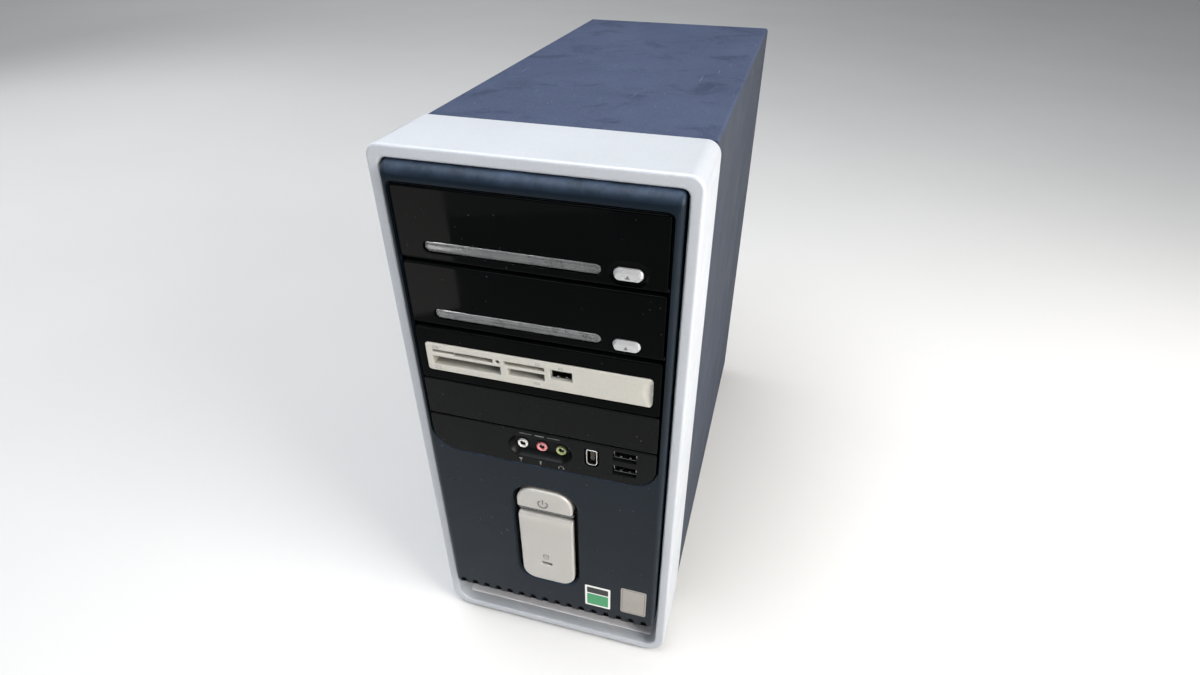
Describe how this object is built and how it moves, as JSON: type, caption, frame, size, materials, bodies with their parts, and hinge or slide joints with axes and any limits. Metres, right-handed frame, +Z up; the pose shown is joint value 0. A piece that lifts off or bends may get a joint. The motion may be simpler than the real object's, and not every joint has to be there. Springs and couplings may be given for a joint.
{
  "type": "desktop computer tower",
  "caption": "Narrow desktop computer tower: silver ring bezel, dark front with sliding disc trays, card reader, ports and sprung power button, removable side panel, fans and full interior.",
  "frame": {"origin": "centre of the footprint, on the surface that the rubber feet stand on", "axes": "+X to the viewer's right when facing the front, +Z up, and the front faces -Y"},
  "size_m": [0.176, 0.4, 0.3858],
  "materials": {
    "silver_plastic": "light silver paint on moulded plastic, fine satin",
    "navy_plastic": "dark blue-black satin plastic with a fine mould texture",
    "gloss_black": "piano-black gloss plastic",
    "satin_black": "satin black plastic",
    "warm_silver": "warm silver paint on plastic, fine metallic grain",
    "clear_lens": "clear plastic over a grey backing",
    "case_paint": "slate-blue powder coat on steel, fine texture, light scratches",
    "zinc_steel": "galvanised sheet steel",
    "rubber": "moulded rubber",
    "black_plastic": "black moulded plastic",
    "circuit_board": "green solder mask on glass-epoxy board",
    "aluminium": "extruded or cast aluminium",
    "nickel": "nickel-plated steel",
    "cable_jacket": "braided sleeve over a bundle of insulated wires",
    "ribbon_grey": "grey flat ribbon cable",
    "red_plastic": "red plastic",
    "ivory_plastic": "ivory plastic"
  },
  "bodies": {
    "chassis": {"bezel_frame": "silver_plastic", "intake_tray": "silver_plastic", "front_panel": "navy_plastic", "card_bay_surround": "gloss_black", "blank_bay_cover": "satin_black", "port_panel": "satin_black", "button_housing": "satin_black", "card_reader_fascia": "warm_silver", "badge_plate": "warm_silver", "activity_light": "clear_lens", "outer_cover": "case_paint", "chassis_floor": "zinc_steel", "chassis_front_plate": "zinc_steel", "chassis_rear_panel": "zinc_steel", "mainboard_tray": "zinc_steel", "drive_cage": "zinc_steel", "optical_drive_upper": "zinc_steel", "optical_drive_lower": "zinc_steel", "port_board": "zinc_steel", "power_supply": "zinc_steel", "foot_front_left": "rubber", "foot_front_right": "rubber", "foot_rear_left": "rubber", "foot_rear_right": "rubber", "bezel_carrier": "black_plastic", "card_reader": "black_plastic", "audio_jack_block": "black_plastic", "mains_inlet": "black_plastic", "rear_fan_frame": "black_plastic", "cpu_fan_frame": "black_plastic", "mainboard": "circuit_board", "memory_module_a": "circuit_board", "memory_module_b": "circuit_board", "modem_card": "circuit_board", "hard_drive": "aluminium", "cpu_heatsink": "aluminium", "main_power_cable": "cable_jacket", "optical_ribbon_cable": "ribbon_grey", "hard_drive_cable": "ribbon_grey", "rear_port_block": "ivory_plastic"},
    "power_button": {"power_button": "warm_silver"},
    "disc_tray_upper": {"disc_tray_upper": "black_plastic", "tray_fascia_upper": "gloss_black", "fascia_lens_upper": "clear_lens"},
    "disc_tray_lower": {"disc_tray_lower": "black_plastic", "tray_fascia_lower": "gloss_black", "fascia_lens_lower": "clear_lens"},
    "eject_button_upper": {"eject_button_upper": "warm_silver"},
    "eject_button_lower": {"eject_button_lower": "warm_silver"},
    "side_panel": {"side_panel": "case_paint"},
    "side_thumbscrew_lower": {"side_thumbscrew_lower": "nickel"},
    "side_thumbscrew_upper": {"side_thumbscrew_upper": "nickel"},
    "cpu_fan_rotor": {"cpu_fan_rotor": "black_plastic"},
    "rear_fan_rotor": {"rear_fan_rotor": "black_plastic"},
    "power_supply_fan": {"power_supply_fan": "black_plastic"},
    "voltage_selector": {"voltage_selector": "red_plastic"},
    "memory_latch_a_top": {"memory_latch_a_top": "ivory_plastic"},
    "memory_latch_a_bottom": {"memory_latch_a_bottom": "ivory_plastic"},
    "memory_latch_b_top": {"memory_latch_b_top": "ivory_plastic"},
    "memory_latch_b_bottom": {"memory_latch_b_bottom": "ivory_plastic"}
  },
  "joints": [
    {"name": "power_button_press", "type": "slide", "parent": "chassis", "child": "power_button", "axis": [0, 1, 0], "range_m": [0, 0.002], "stiffness_N_per_m": 500, "springref_m": -0.001},
    {"name": "disc_tray_upper_slide", "type": "slide", "parent": "chassis", "child": "disc_tray_upper", "axis": [0, -1, 0], "range_m": [0, 0.14]},
    {"name": "disc_tray_lower_slide", "type": "slide", "parent": "chassis", "child": "disc_tray_lower", "axis": [0, -1, 0], "range_m": [0, 0.14]},
    {"name": "eject_button_upper_press", "type": "slide", "parent": "disc_tray_upper", "child": "eject_button_upper", "axis": [0, 1, 0], "range_m": [0, 0.0012], "stiffness_N_per_m": 400, "springref_m": -0.0008},
    {"name": "eject_button_lower_press", "type": "slide", "parent": "disc_tray_lower", "child": "eject_button_lower", "axis": [0, 1, 0], "range_m": [0, 0.0012], "stiffness_N_per_m": 400, "springref_m": -0.0008},
    {"name": "side_panel_slide", "type": "slide", "parent": "chassis", "child": "side_panel", "axis": [0, 1, 0], "range_m": [0, 0.44]},
    {"name": "side_thumbscrew_lower_turn", "type": "hinge", "parent": "side_panel", "child": "side_thumbscrew_lower", "pos_m": [-0.0736, 0.1945, 0.075], "axis": [0, 1, 0], "continuous": true},
    {"name": "side_thumbscrew_upper_turn", "type": "hinge", "parent": "side_panel", "child": "side_thumbscrew_upper", "pos_m": [-0.0736, 0.1945, 0.278], "axis": [0, 1, 0], "continuous": true},
    {"name": "cpu_fan_spin", "type": "hinge", "parent": "chassis", "child": "cpu_fan_rotor", "pos_m": [0.0187, 0.105, 0.215], "axis": [1, 0, 0], "continuous": true},
    {"name": "rear_fan_spin", "type": "hinge", "parent": "chassis", "child": "rear_fan_rotor", "pos_m": [-0.022, 0.1758, 0.215], "axis": [0, 1, 0], "continuous": true},
    {"name": "power_supply_fan_spin", "type": "hinge", "parent": "chassis", "child": "power_supply_fan", "pos_m": [-0.028, 0.174, 0.34], "axis": [0, 1, 0], "continuous": true},
    {"name": "voltage_selector_slide", "type": "slide", "parent": "chassis", "child": "voltage_selector", "axis": [1, 0, 0], "range_m": [0, 0.0048]},
    {"name": "memory_latch_a_top_swing", "type": "hinge", "parent": "chassis", "child": "memory_latch_a_top", "pos_m": [0.072, -0.015, 0.2678], "axis": [0, 1, 0], "range_deg": [0, 25]},
    {"name": "memory_latch_a_bottom_swing", "type": "hinge", "parent": "chassis", "child": "memory_latch_a_bottom", "pos_m": [0.072, -0.015, 0.1232], "axis": [0, -1, 0], "range_deg": [0, 25]},
    {"name": "memory_latch_b_top_swing", "type": "hinge", "parent": "chassis", "child": "memory_latch_b_top", "pos_m": [0.072, 0.003, 0.2678], "axis": [0, 1, 0], "range_deg": [0, 25]},
    {"name": "memory_latch_b_bottom_swing", "type": "hinge", "parent": "chassis", "child": "memory_latch_b_bottom", "pos_m": [0.072, 0.003, 0.1232], "axis": [0, -1, 0], "range_deg": [0, 25]}
  ]
}
